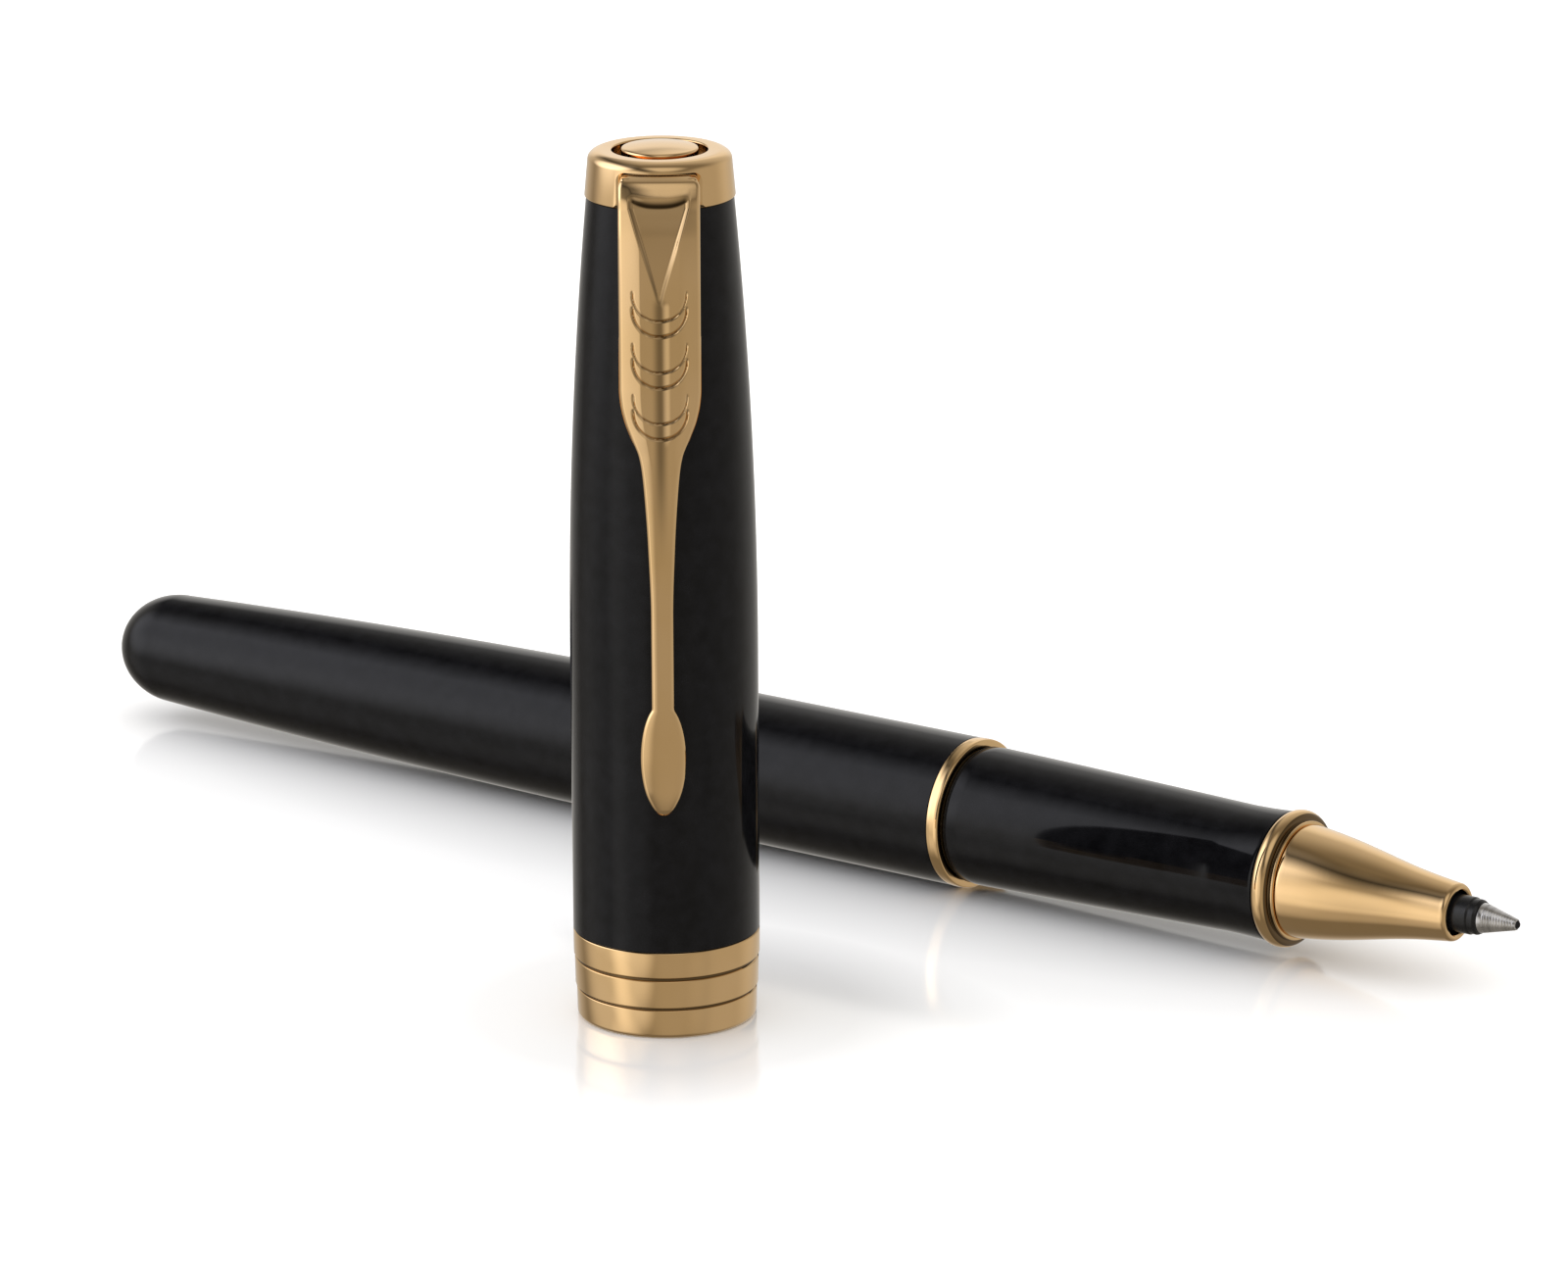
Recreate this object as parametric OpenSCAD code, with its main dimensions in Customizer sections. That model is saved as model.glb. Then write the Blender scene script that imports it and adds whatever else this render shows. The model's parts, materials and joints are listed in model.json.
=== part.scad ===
// Rollerball pen with a screw-in grip section and a separate push-on cap.
// The pen lies level along +X with its nib towards +X; the cap stands on its mouth beside it.
// Origin: the middle of the footprint, on the surface that the pen and cap rest on.

/* [Barrel] */
// Length from the trim ring's back face to the tail
barrel_length = 78.8; // [70:0.1:90]
// Radius of the straight part behind the trim ring
barrel_radius = 5.43; // [5.3:0.01:5.6]
// Radius where the rounded tail begins
tail_radius = 4.19; // [3.9:0.01:4.4]
// Depth of the rounded tail
tail_dome = 4.9; // [3.5:0.1:6]
// Distance behind the trim ring at which the barrel starts to taper
barrel_taper_start = 22; // [18:1:30]
// Width of the trim ring
trim_width = 0.95; // [0.7:0.05:1.2]

/* [Grip section] */
// Distance from the trim ring's back face to the front flange
grip_end = 27.0; // [24:0.1:30]
// Radius of the grip behind its taper
grip_back_radius = 5.03; // [4.9:0.01:5.1]
// Smallest radius of the grip
grip_waist_radius = 4.56; // [4.5:0.01:4.7]
// Radius of the grip where it flares out to the flange
grip_flare_radius = 4.7; // [4.6:0.01:4.8]
// Radius of the front flange
flange_radius = 4.92; // [4.8:0.01:5.0]
// Width of the front flange
flange_width = 1.22; // [1.1:0.02:1.4]
// Length of the nose cone
nose_length = 12.6; // [11:0.1:13]
// Radius at the back of the nose cone
nose_root_radius = 4.07; // [3.9:0.01:4.1]
// Radius at the lip of the nose cone
nose_lip_radius = 2.08; // [2.0:0.01:2.2]

/* [Refill] */
// Radius of the ink tube
refill_radius = 3.0; // [2.6:0.05:3.0]
// Radius of the plastic collar round the point
collar_radius = 1.33; // [1.2:0.01:1.35]
// Length of the steel point
point_length = 2.75; // [2.4:0.05:3]
// Radius of the rolling ball
ball_radius = 0.3; // [0.25:0.01:0.35]

/* [Cap] */
// Height of the cap's crown above its mouth
cap_height = 60.75; // [58:0.05:66]
// Radius of the lower part of the cap
cap_radius = 6.41; // [6.3:0.01:6.6]
// Radius of the cap under the crown
cap_top_radius = 4.97; // [4.9:0.01:5.1]
// Height at which the cap starts to taper
cap_taper_start = 26; // [22:1:30]
// Height of the metal band round the mouth
band_height = 6.2; // [5.5:0.1:7]
// Height of the crown
crown_height = 3.13; // [3:0.01:3.5]
// Radius of the socket that takes the grip section
socket_radius = 5.25; // [5.2:0.01:5.3]

/* [Clip] */
// Width of the clip's head
clip_width = 5.5; // [5:0.1:5.5]
// Width of the clip's shaft
clip_shaft_width = 1.54; // [1.3:0.02:2]
// Width of the clip's foot
clip_foot_width = 3.1; // [2.6:0.1:3.4]
// Number of decorative grooves on the clip's head
clip_grooves = 3; // [0:1:3]

/* [Hidden] */
$fn = 96;
// Turn of the cap and its clip about the cap's own axis
clip_turn = 35.7;
// Where the trim ring's back face and the cap stand in the footprint
ring_x = 16.4;
pen_y = 18.7;
cap_x = ring_x - 1.0;
cap_y = pen_y - 35.3;
// Height of the pen's axis, with its trim ring on the table
trim_radius = barrel_radius + 0.03;

// Gap between parts that are pressed or glued together
seat = 0.02;
// Radial running clearance of the section's thread in the barrel
thread_clearance = 0.08;
// Gap that keeps the clip clear of the cap
clip_gap = 0.12;

barrel_wall = 0.62;
bush_length = 14;
bush_radius = barrel_radius - barrel_wall;
thread_radius = 3.95;
barrel_bore_end = barrel_length - 5.8;
core_bore = 3.25;
core_front_radius = 3.6;
core_grip_radius = 4.2;
gasket_width = 0.3;
grip_start = trim_width + gasket_width;
neck_radius = 4.3;
neck_width = 0.33;
flange_end = grip_end + flange_width + neck_width;
nose_start = flange_end + 0.05;
nose_end = nose_start + nose_length;
nose_mouth = 1.6;
nose_swell = 0.09;
collar_end = nose_end + 1.9;
point_shank = 0.6;
shank_depth = 4;
point_end = collar_end + point_length;
ball_seat = ball_radius + 0.02;
ball_z = point_end - 0.1;
refill_back = -64;
refill_shoulder = grip_end + 3.2;
plug_length = 2;
plug_lip = 0.8;
refill_wall = 0.2;
tube_end = refill_shoulder - 5;
core_start = refill_back + plug_length + 0.2;
core_end = tube_end - 2.5;
spring_wire = 0.2;
spring_radius = 2.3;
spring_turns = 6;
spring_cup_height = 0.9;
spring_cup_radius = 3.5;
spring_post_radius = 1.9;
spring_post_height = 1.2;
spring_start = -barrel_bore_end + spring_cup_height + seat;
spring_length = refill_back - plug_length - seat - spring_start;

crown_base = cap_height - crown_height;
tube_wall = 0.6;
liner_wall = 0.5;
lip_height = 0.9;
lip_bore = socket_radius + 0.05;
clutch_radius = 5.62;
clutch_bore = 5.32;
liner_end = crown_base - 7;
crown_foot_radius = cap_top_radius + 0.11;
crown_top_radius = cap_top_radius - 0.11;
crown_edge = 0.9;
crown_edge_height = 0.65;
button_bore = 3.23;
button_radius = 2.6;
button_seat_z = cap_height - 1.3;
button_rim_z = cap_height + 0.12;
button_dome = 0.24;
stem_radius = 1.6;
stem_bore = stem_radius + seat;
spigot_radius = cap_top_radius - tube_wall - 0.05;
spigot_depth = 2.6;
nut_height = 2.6;
nut_base = crown_base - spigot_depth - nut_height - 0.4;
washer_top = button_seat_z + 0.25;
pocket_half = clip_width / 2 + clip_gap;
pocket_floor_r = 3.6;
pocket_top = cap_height - 0.7;
foot_height = 20.2;
foot_half_length = 4.0;

// Radius of the barrel at a distance behind the trim ring
function barrel_r(d) =
    let (run = barrel_length - tail_dome - barrel_taper_start)
    d < barrel_taper_start
        ? barrel_radius
        : barrel_radius - (barrel_radius - tail_radius) * pow((d - barrel_taper_start) / run, 2);

// Radius of the cap at a height above its mouth
function cap_r(z) =
    z < cap_taper_start
        ? cap_radius
        : cap_radius - (cap_radius - cap_top_radius)
            * pow((z - cap_taper_start) / (crown_base - cap_taper_start), 2);

// Evenly spaced numbers from a to b
function steps(a, b, n) = [for (i = [0 : n]) a + (b - a) * i / n];

// Radius of the nose cone at a fraction of its length: full at the back, drawn in at the front
function nose_r(t) =
    nose_root_radius + (nose_lip_radius - nose_root_radius) * t + nose_swell * sin(360 * t);

module lathe(points) {
    rotate_extrude() polygon(points);
}

module on_pen() {
    translate([ring_x, pen_y, trim_radius]) rotate([0, 90, 0]) children();
}

module on_cap() {
    translate([cap_x, cap_y, 0]) rotate([0, 0, clip_turn]) children();
}

module lacquer() {
    color([0.03, 0.03, 0.035]) children();
}

module gold() {
    color([0.83, 0.66, 0.42]) children();
}

module brass() {
    color([0.72, 0.58, 0.3]) children();
}

module steel() {
    color([0.6, 0.61, 0.63]) children();
}

module plastic() {
    color([0.07, 0.07, 0.08]) children();
}

module barrel_shell() {
    taper = steps(0, barrel_length - tail_dome, 16);
    dome = steps(0, 90, 10);
    bore = steps(barrel_bore_end, 0, 12);
    lacquer() on_pen() lathe(concat(
        [for (d = taper) [barrel_r(d), -d]],
        [for (a = dome) if (a > 0 && a < 90)
            [tail_radius * cos(a), -(barrel_length - tail_dome) - tail_dome * sin(a)]],
        [[0, -barrel_length]],
        [[0, -barrel_bore_end]],
        [for (d = bore) [barrel_r(d) - barrel_wall, -d]]
    ));
}

module barrel_bush() {
    brass() on_pen() lathe([
        [thread_radius, -bush_length],
        [bush_radius - seat, -bush_length],
        [bush_radius - seat, 0],
        [thread_radius, 0]
    ]);
}

module trim_ring() {
    edge = 0.16;
    gold() on_pen() lathe([
        [thread_radius, seat],
        [trim_radius - edge, seat],
        [trim_radius, seat + edge],
        [trim_radius, trim_width - edge],
        [trim_radius - edge, trim_width],
        [thread_radius, trim_width]
    ]);
}

module spring_cup() {
    plastic() on_pen() translate([0, 0, -barrel_bore_end]) lathe([
        [0, seat],
        [spring_cup_radius, seat],
        [spring_cup_radius, spring_cup_height],
        [spring_post_radius, spring_cup_height],
        [spring_post_radius, spring_cup_height + spring_post_height],
        [0, spring_cup_height + spring_post_height]
    ]);
}

module refill_spring() {
    sides = 8;
    sweep = 360 * spring_wire * spring_turns / spring_length;
    wire = [for (a = [0 : 360 / sides : 359])
        (spring_radius + spring_wire * cos(a)) * [cos(sweep * sin(a)), sin(sweep * sin(a))]];
    turn = -360 * spring_turns;
    steel() on_pen() translate([0, 0, spring_start])
        linear_extrude(height = spring_length, twist = turn, slices = 14 * spring_turns, $fn = sides)
            polygon(wire);
}

module refill_tube() {
    steel() on_pen() lathe([
        [refill_radius - refill_wall, refill_back],
        [refill_radius, refill_back],
        [refill_radius, tube_end],
        [refill_radius - refill_wall, tube_end]
    ]);
}

module refill_core() {
    color([0.12, 0.12, 0.2]) on_pen() translate([0, 0, core_start])
        cylinder(r = refill_radius - refill_wall - seat, h = core_end - core_start);
}

module refill_plug() {
    tail = 1.7;
    inside = refill_radius - refill_wall - seat;
    plastic() on_pen() lathe([
        [0, refill_back - plug_length],
        [tail, refill_back - plug_length],
        [tail, refill_back - plug_lip],
        [refill_radius, refill_back - plug_lip],
        [refill_radius, refill_back - seat],
        [inside, refill_back - seat],
        [inside, refill_back + plug_length],
        [0, refill_back + plug_length]
    ]);
}

module refill_nose() {
    edge = 0.4;
    neck_back = 1.9;
    neck_front = 1.7;
    step = 0.08;
    inside = refill_radius - refill_wall - seat;
    plastic() on_pen() lathe([
        [0, core_end + 0.2],
        [inside, core_end + 0.2],
        [inside, tube_end + seat],
        [refill_radius, tube_end + seat],
        [refill_radius, refill_shoulder - edge],
        [refill_radius - edge, refill_shoulder],
        [neck_back, refill_shoulder + edge],
        [neck_front, refill_shoulder + 5.2],
        [collar_radius, refill_shoulder + 7.2],
        [collar_radius, collar_end - 0.75],
        [collar_radius - step, collar_end - 0.62],
        [collar_radius - step, collar_end - 0.25],
        [collar_radius - 0.2, collar_end],
        [point_shank + seat, collar_end],
        [point_shank + seat, collar_end - shank_depth],
        [0, collar_end - shank_depth]
    ]);
}

module refill_point() {
    root = 1.06;
    tip = 0.42;
    band = 0.35;
    groove = 0.04;
    socket_edge = asin((point_end - ball_z) / ball_seat);
    steel() on_pen() lathe(concat(
        [[0, collar_end - shank_depth + 0.1]],
        [[point_shank, collar_end - shank_depth + 0.1]],
        [[point_shank, collar_end + seat]],
        [[root, collar_end + seat]],
        [[root - 0.05, collar_end + band]],
        [[root - 0.05 - groove, collar_end + band]],
        [[root - 0.07 - groove, collar_end + band + 0.08]],
        [[root - 0.07, collar_end + band + 0.08]],
        [[tip, point_end - 0.12]],
        [[tip - 0.08, point_end]],
        [for (a = steps(socket_edge, -90, 12)) [ball_seat * cos(a), ball_z + ball_seat * sin(a)]]
    ));
}

module tip_ball() {
    steel() on_pen() translate([0, 0, ball_z]) sphere(r = ball_radius, $fn = 48);
}

module section_core() {
    spigot = thread_radius - thread_clearance;
    spigot_end = -12;
    brass() on_pen() lathe([
        [core_bore, spigot_end],
        [spigot, spigot_end],
        [spigot, grip_start],
        [core_grip_radius, grip_start],
        [core_grip_radius, grip_end - seat],
        [core_front_radius, grip_end - seat],
        [core_front_radius, flange_end],
        [core_bore, flange_end]
    ]);
}

module section_gasket() {
    color([0.02, 0.02, 0.02]) on_pen() lathe([
        [thread_radius, trim_width + seat],
        [grip_back_radius - 0.3, trim_width + seat],
        [grip_back_radius - 0.3, grip_start - seat],
        [thread_radius, grip_start - seat]
    ]);
}

module grip_sleeve() {
    waist = grip_end - 3.6;
    bevel = 0.12;
    lacquer() on_pen() lathe(concat(
        [[core_grip_radius + seat, grip_start]],
        [[grip_back_radius - bevel, grip_start]],
        [for (t = steps(0, 1, 8))
            [grip_back_radius - (grip_back_radius - grip_waist_radius) * pow(t, 1.15),
             grip_start + bevel + (waist - grip_start - bevel) * t]],
        [for (t = steps(0, 1, 5)) if (t > 0)
            [grip_waist_radius + (grip_flare_radius - grip_waist_radius) * t * t,
             waist + (grip_end - waist - seat) * t]],
        [[core_grip_radius + seat, grip_end - seat]]
    ));
}

module front_flange() {
    round_depth = 0.45;
    middle = grip_end + flange_width / 2;
    gold() on_pen() lathe(concat(
        [[core_front_radius + seat, grip_end]],
        [for (a = steps(-90, 90, 12))
            [flange_radius - round_depth * (1 - cos(a)), middle + flange_width / 2 * sin(a)]],
        [[neck_radius, grip_end + flange_width]],
        [[neck_radius, flange_end]],
        [[core_front_radius + seat, flange_end]]
    ));
}

module nose_cone() {
    lip = 0.4;
    wall = 0.5;
    body_end = nose_end - lip;
    gold() on_pen() lathe(concat(
        [[core_bore, nose_start]],
        [for (t = steps(0, 1, 14)) [nose_r(t), nose_start + (body_end - nose_start) * t]],
        [for (a = steps(0, 90, 4)) if (a > 0)
            [nose_lip_radius - 0.3 + 0.3 * cos(a), body_end + lip * sin(a)]],
        [[nose_mouth, nose_end - 0.15]],
        [[nose_mouth, nose_end - 1.8]],
        [[core_bore, refill_shoulder + 1.2]]
    ));
}

module cap_band() {
    gold() on_cap() lathe([
        [lip_bore + 0.2, 0],
        [cap_radius - 0.55, 0],
        [cap_radius - 0.33, 0.1],
        [cap_radius - 0.24, 0.35],
        [cap_radius - 0.2, 1.98],
        [cap_radius - 0.26, 2.05],
        [cap_radius - 0.26, 2.15],
        [cap_radius - 0.11, 2.24],
        [cap_radius - 0.08, 4.12],
        [cap_radius - 0.15, 4.2],
        [cap_radius - 0.15, 4.32],
        [cap_radius - 0.01, 4.42],
        [cap_radius + 0.01, band_height - 0.12],
        [cap_radius - 0.06, band_height],
        [clutch_radius + seat, band_height],
        [clutch_radius + seat, lip_height],
        [lip_bore, lip_height],
        [lip_bore, 0.2]
    ]);
}

module cap_clutch() {
    finger_slots = 6;
    steel() on_cap() difference() {
        lathe([
            [clutch_bore, lip_height + seat],
            [clutch_radius, lip_height + seat],
            [clutch_radius, band_height - 0.3],
            [clutch_bore, band_height - 0.3]
        ]);
        for (i = [1 : finger_slots])
            rotate([0, 0, i * 360 / finger_slots])
                translate([4, -0.35, lip_height + 1.2]) cube([3, 0.7, band_height]);
    }
}

module cap_tube() {
    heights = concat([band_height + seat], steps(cap_taper_start, crown_base - seat, 14));
    inner = [for (i = [len(heights) - 1 : -1 : 0]) [cap_r(heights[i]) - tube_wall, heights[i]]];
    lacquer() on_cap() lathe(concat([for (z = heights) [cap_r(z), z]], inner));
}

module cap_liner() {
    foot = band_height + seat;
    heights = concat([foot], steps(cap_taper_start, liner_end, 8));
    hollow_end = liner_end - 1.6;
    hollow = steps(hollow_end, cap_taper_start + 4, 6);
    plastic() on_cap() lathe(concat(
        [for (z = heights) [cap_r(z) - tube_wall - seat, z]],
        [[0, liner_end], [0, hollow_end]],
        [for (z = hollow) [min(socket_radius, cap_r(z) - tube_wall - seat - liner_wall), z]],
        [[socket_radius, foot]]
    ));
}

module crown_nut() {
    nut_radius = 4.0;
    brass() on_cap() lathe([
        [stem_bore, nut_base],
        [nut_radius, nut_base],
        [nut_radius, nut_base + nut_height],
        [stem_bore, nut_base + nut_height]
    ]);
}

module clip_pocket() {
    corner = 0.6;
    depth = 3;
    translate([0, -pocket_floor_r, 0]) rotate([90, 0, 0]) linear_extrude(height = depth) polygon([
        [-pocket_half, crown_base - 0.2],
        [pocket_half, crown_base - 0.2],
        [pocket_half, pocket_top - corner],
        [pocket_half - 0.3 * corner, pocket_top - 0.3 * corner],
        [pocket_half - corner, pocket_top],
        [corner - pocket_half, pocket_top],
        [0.3 * corner - pocket_half, pocket_top - 0.3 * corner],
        [-pocket_half, pocket_top - corner]
    ]);
}

module cap_crown() {
    gold() on_cap() difference() {
        lathe(concat(
            [[stem_bore, crown_base - spigot_depth]],
            [[spigot_radius, crown_base - spigot_depth]],
            [[spigot_radius, crown_base]],
            [[crown_foot_radius - 0.08, crown_base]],
            [[crown_foot_radius, crown_base + 0.08]],
            [for (a = steps(0, 90, 8))
                [crown_top_radius - crown_edge * (1 - cos(a)),
                 cap_height - crown_edge_height * (1 - sin(a))]],
            [[button_bore + 0.12, cap_height]],
            [[button_bore, cap_height - 0.12]],
            [[button_bore, button_seat_z]],
            [[stem_bore, button_seat_z]]
        ));
        clip_pocket();
    }
}

module crown_washer() {
    plastic() on_cap() lathe([
        [stem_bore, button_seat_z + seat],
        [button_bore - seat, button_seat_z + seat],
        [button_bore - seat, washer_top],
        [stem_bore, washer_top]
    ]);
}

module cap_button() {
    edge = 0.1;
    gold() on_cap() lathe(concat(
        [[0, washer_top + seat]],
        [[button_radius - edge, washer_top + seat]],
        [[button_radius, washer_top + edge]],
        [[button_radius, button_rim_z - edge]],
        [for (t = steps(0, 1, 6))
            [(button_radius - edge) * (1 - t), button_rim_z + button_dome * (1 - pow(1 - t, 2))]]
    ));
}

module clip_screw() {
    steel() on_cap() translate([0, 0, nut_base])
        cylinder(r = stem_radius, h = washer_top - nut_base);
}

// The clip seen from the front, x across and y up
module clip_front() {
    half = clip_width / 2;
    shaft = clip_shaft_width / 2;
    top = pocket_top - clip_gap;
    right = [
        [shaft, foot_height],
        [shaft, 30],
        [shaft + 0.17, 35],
        [shaft + 0.5, 39.6],
        [half - 1.3, 41.3],
        [half - 0.72, 42.6],
        [half - 0.25, 44.0],
        [half, 45.6],
        [half, top - 0.55],
        [half - 0.16, top - 0.16],
        [half - 0.55, top]
    ];
    polygon(concat(right, [for (i = [len(right) - 1 : -1 : 0]) [-right[i][0], right[i][1]]]));
    translate([0, foot_height])
        polygon([for (a = [0 : 15 : 345]) [clip_foot_width / 2 * cos(a), foot_half_length * sin(a)]]);
}

// The clip seen from the side, x outwards from the cap's axis and y up
module clip_side() {
    top = pocket_top - clip_gap;
    root = pocket_floor_r + clip_gap;
    shell = cap_r(0) + clip_gap;
    polygon([
        [root, top],
        [cap_top_radius + 0.35, top],
        [cap_top_radius + 0.85, top - 0.3],
        [cap_top_radius + 1.15, top - 0.9],
        [cap_top_radius + 1.15, top - 1.8],
        [cap_top_radius + 0.98, top - 2.3],
        [cap_top_radius + 1.3, top - 2.7],
        [cap_top_radius + 1.75, 56],
        [7.0, 53],
        [7.2, 48],
        [7.3, 42],
        [7.32, 34],
        [7.34, 27],
        [7.4, 23],
        [7.4, 20.5],
        [7.28, 18],
        [7.05, 16.6],
        [shell + 0.3, 16.2],
        [shell, 17.2],
        [shell, 19.2],
        [shell + 0.22, 21],
        [shell + 0.22, 27],
        [shell + 0.18, 34],
        [shell + 0.1, 42],
        [6.28, 48],
        [5.95, 53],
        [5.6, 56],
        [cap_top_radius + 0.25, crown_base - 0.1],
        [cap_top_radius + 0.15, crown_base + clip_gap],
        [root, crown_base + clip_gap]
    ]);
}

// One shallow rounded groove across the head of the clip
module clip_groove(z) {
    groove_radius = 1.8;
    groove_width = 0.22;
    groove_floor = 7.05;
    translate([0, -groove_floor, z]) rotate([90, 0, 0]) linear_extrude(height = 1) difference() {
        circle(r = groove_radius, $fn = 48);
        circle(r = groove_radius - groove_width, $fn = 48);
        translate([-groove_radius, 0]) square([2 * groove_radius, groove_radius]);
    }
}

module cap_clip() {
    groove_pitch = 3.5;
    groove_top = 51.3;
    gold() on_cap() difference() {
        intersection() {
            rotate([90, 0, 0]) linear_extrude(height = 9) clip_front();
            translate([-3, 0, 0]) rotate([90, 0, 90]) linear_extrude(height = 6) mirror([1, 0]) clip_side();
        }
        if (clip_grooves > 0)
            for (i = [0 : clip_grooves - 1])
                clip_groove(groove_top - groove_pitch * i);
    }
}

barrel_shell();
barrel_bush();
trim_ring();
spring_cup();
refill_spring();
refill_tube();
refill_core();
refill_plug();
refill_nose();
refill_point();
tip_ball();
section_core();
section_gasket();
grip_sleeve();
front_flange();
nose_cone();
cap_band();
cap_clutch();
cap_tube();
cap_liner();
crown_nut();
cap_crown();
crown_washer();
cap_button();
clip_screw();
cap_clip();
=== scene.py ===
"""A rollerball pen lying beside its standing cap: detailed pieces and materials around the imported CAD."""

import json
import math

import bmesh
import bpy
from mathutils import Matrix, Vector


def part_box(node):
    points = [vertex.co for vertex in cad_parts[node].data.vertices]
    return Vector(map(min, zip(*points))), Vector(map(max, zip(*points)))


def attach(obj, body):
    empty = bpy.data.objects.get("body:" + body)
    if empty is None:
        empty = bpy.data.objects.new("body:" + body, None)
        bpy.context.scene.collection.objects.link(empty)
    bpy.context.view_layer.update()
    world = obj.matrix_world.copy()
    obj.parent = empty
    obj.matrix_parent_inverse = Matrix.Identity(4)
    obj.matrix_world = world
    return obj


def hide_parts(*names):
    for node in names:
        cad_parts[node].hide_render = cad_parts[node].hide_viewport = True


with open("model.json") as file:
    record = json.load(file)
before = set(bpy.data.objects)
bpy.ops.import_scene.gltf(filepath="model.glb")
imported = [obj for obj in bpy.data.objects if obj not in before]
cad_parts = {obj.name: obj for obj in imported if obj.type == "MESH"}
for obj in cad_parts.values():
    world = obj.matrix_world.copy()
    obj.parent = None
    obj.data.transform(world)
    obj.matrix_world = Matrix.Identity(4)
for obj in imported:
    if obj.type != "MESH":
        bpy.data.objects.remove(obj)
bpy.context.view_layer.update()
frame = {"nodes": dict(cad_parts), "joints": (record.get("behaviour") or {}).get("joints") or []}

MM = 0.001
TURN = 2.0 * math.pi

# ---------------------------------------------------------------- places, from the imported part

barrel_low, barrel_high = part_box("barrel_shell")
ring_low, ring_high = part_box("trim_ring")
band_low, band_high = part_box("cap_band")

# The pen's own frame: s runs along its axis from the trim ring's back face to the nib.
PEN = Matrix.Translation((barrel_high.x, (ring_low.y + ring_high.y) / 2, (ring_low.z + ring_high.z) / 2))
PEN = PEN @ Matrix.Rotation(math.radians(90), 4, "Y")

# The cap's own frame: z up from its mouth, with the clip towards -Y.
clip_axis = next(j for j in frame["joints"] if j["name"] == "clip_flex")["axis"]
CLIP_TURN = math.atan2(-clip_axis[1], -clip_axis[0])
CAP = Matrix.Translation(((band_low.x + band_high.x) / 2, (band_low.y + band_high.y) / 2, band_low.z))
CAP = CAP @ Matrix.Rotation(CLIP_TURN, 4, "Z")

CROWN_HEIGHT = 3.13

BARREL_LENGTH = (barrel_high.x - barrel_low.x) / MM
CAP_TOP = (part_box("cap_crown")[1].z - band_low.z) / MM
CROWN_BASE = CAP_TOP - CROWN_HEIGHT
POINT_END = (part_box("refill_point")[1].x - barrel_high.x) / MM

# ---------------------------------------------------------------- mesh helpers

SHARP = 35.0  # edges that bend by more degrees than this stay sharp


def filleted(points, arc=5):
    """Points (r, s) or (r, s, fillet) with the fillets worked out as short arcs."""
    out = []
    n = len(points)
    for i, p in enumerate(points):
        here = Vector(p[:2])
        radius = p[2] if len(p) > 2 else 0.0
        if radius <= 0.0:
            out.append(tuple(here))
            continue
        before, after = Vector(points[i - 1][:2]), Vector(points[(i + 1) % n][:2])
        a, b = (before - here), (after - here)
        half = a.angle(b) / 2
        reach = min(radius / math.tan(half), 0.49 * a.length, 0.49 * b.length)
        size = reach * math.tan(half)
        a.normalize()
        b.normalize()
        centre = here + (a + b).normalized() * size / math.sin(half)
        start, end = here + a * reach - centre, here + b * reach - centre
        sweep = start.angle_signed(end, 0.0)
        for k in range(arc + 1):
            t = -sweep * k / arc
            out.append((centre.x + start.x * math.cos(t) - start.y * math.sin(t),
                        centre.y + start.x * math.sin(t) + start.y * math.cos(t)))
    return out


def curve(fn, a, b, n):
    """Points of an outline where a formula gives each of n steps from a to b."""
    return [fn(a + (b - a) * i / n) for i in range(n + 1)]


def new_object(name, bm):
    """Turns a bmesh into an object of the scene."""
    mesh = bpy.data.meshes.new(name)
    bm.to_mesh(mesh)
    bm.free()
    made = bpy.data.objects.new(name, mesh)
    bpy.context.scene.collection.objects.link(made)
    return made


def placed_object(name, bm, place):
    """The same for a mesh drawn in millimetres in the pen's or the cap's own frame."""
    bmesh.ops.recalc_face_normals(bm, faces=bm.faces)
    made = new_object(name, bm)
    made.data.transform(Matrix.Scale(MM, 4))
    made.data.transform(place)
    return made


def finish_mesh(name, bm, place, body, node, material, sharp=SHARP):
    """Makes the piece, which rides on its body and stands in for the CAD node."""
    piece = placed_object(name, bm, place)
    mesh = piece.data
    for polygon in mesh.polygons:
        polygon.use_smooth = True
    mesh.set_sharp_from_angle(angle=math.radians(sharp))
    mesh.materials.append(material)
    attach(piece, body)
    if node:
        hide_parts(node)
    return piece


def lathe(name, profile, place, body, node, material, around=160, shape=None, painted_shade=()):
    """Turns a closed outline of (r, s) round the axis. shape(r, s, angle) may move a point.

    The last argument holds the (from s, to s, shade) of recesses darkened with painted shade.
    """
    bm = bmesh.new()
    shades = bm.verts.layers.float.new("shade")
    rings = []
    for r, s in profile:
        if r < 1e-6:
            rings.append([bm.verts.new((0.0, 0.0, s))])
            continue
        ring = []
        for k in range(around):
            angle = TURN * k / around
            rr, ss = shape(r, s, angle) if shape else (r, s)
            ring.append(bm.verts.new((rr * math.cos(angle), rr * math.sin(angle), ss)))
        rings.append(ring)
    for i, low in enumerate(rings):
        high = rings[(i + 1) % len(rings)]
        if len(low) == 1 and len(high) == 1:
            continue
        for k in range(around):
            m = (k + 1) % around
            if len(low) == 1:
                bm.faces.new((low[0], high[m], high[k]))
            elif len(high) == 1:
                bm.faces.new((low[k], low[m], high[0]))
            else:
                bm.faces.new((low[k], low[m], high[m], high[k]))
    # painted shade on the listed recesses
    for low, high, shade in painted_shade:
        for vertex in bm.verts:
            if low <= vertex.co.z <= high:
                vertex[shades] = shade
    return finish_mesh(name, bm, place, body, node, material)


# ---------------------------------------------------------------- materials


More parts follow.
